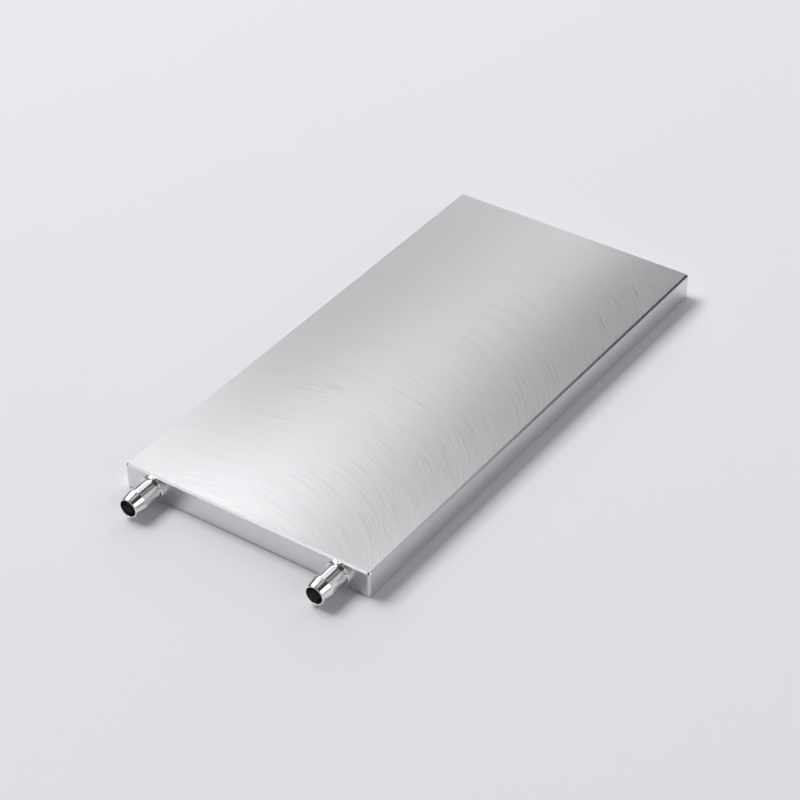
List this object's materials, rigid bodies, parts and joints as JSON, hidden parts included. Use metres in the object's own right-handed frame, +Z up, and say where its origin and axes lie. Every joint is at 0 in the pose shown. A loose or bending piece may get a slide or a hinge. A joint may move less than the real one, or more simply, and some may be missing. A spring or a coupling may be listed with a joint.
{
  "type": "liquid cooling cold plate",
  "caption": "Flat liquid-cooled plate with a brushed cooling face, a sealed serpentine channel filled with fins, and hose barbs in one short end.",
  "frame": {"origin": "centre of the plate's underside, the face that it rests on", "axes": "+Z up out of the cooling face, +Y along the plate from the port end to the far end, +X across it"},
  "size_m": [0.15, 0.32, 0.015],
  "materials": {
    "brushed_aluminium": "brushed in long arcs on the cooling face, plain milled on the sides",
    "milled_aluminium": "fly-cut flush with the underside of the block",
    "polished_barb": "turned and polished, with a bright plated surface",
    "seal_rubber": "black moulded rubber",
    "fin_aluminium": "bright rolled sheet, as folded"
  },
  "bodies": {
    "root": {"channel_block": "brushed_aluminium", "base_cover": "milled_aluminium", "inlet_hose_barb": "polished_barb", "outlet_hose_barb": "polished_barb", "inlet_o_ring": "seal_rubber", "outlet_o_ring": "seal_rubber", "fin_strip_1_near": "fin_aluminium", "fin_strip_1_far": "fin_aluminium", "fin_strip_2_near": "fin_aluminium", "fin_strip_2_far": "fin_aluminium", "fin_strip_3_near": "fin_aluminium", "fin_strip_3_far": "fin_aluminium", "fin_strip_4_near": "fin_aluminium", "fin_strip_4_far": "fin_aluminium", "fin_strip_5_near": "fin_aluminium", "fin_strip_5_far": "fin_aluminium", "fin_strip_6_near": "fin_aluminium", "fin_strip_6_far": "fin_aluminium", "fin_strip_7_near": "fin_aluminium", "fin_strip_7_far": "fin_aluminium", "fin_strip_8_near": "fin_aluminium", "fin_strip_8_far": "fin_aluminium"}
  },
  "joints": []
}
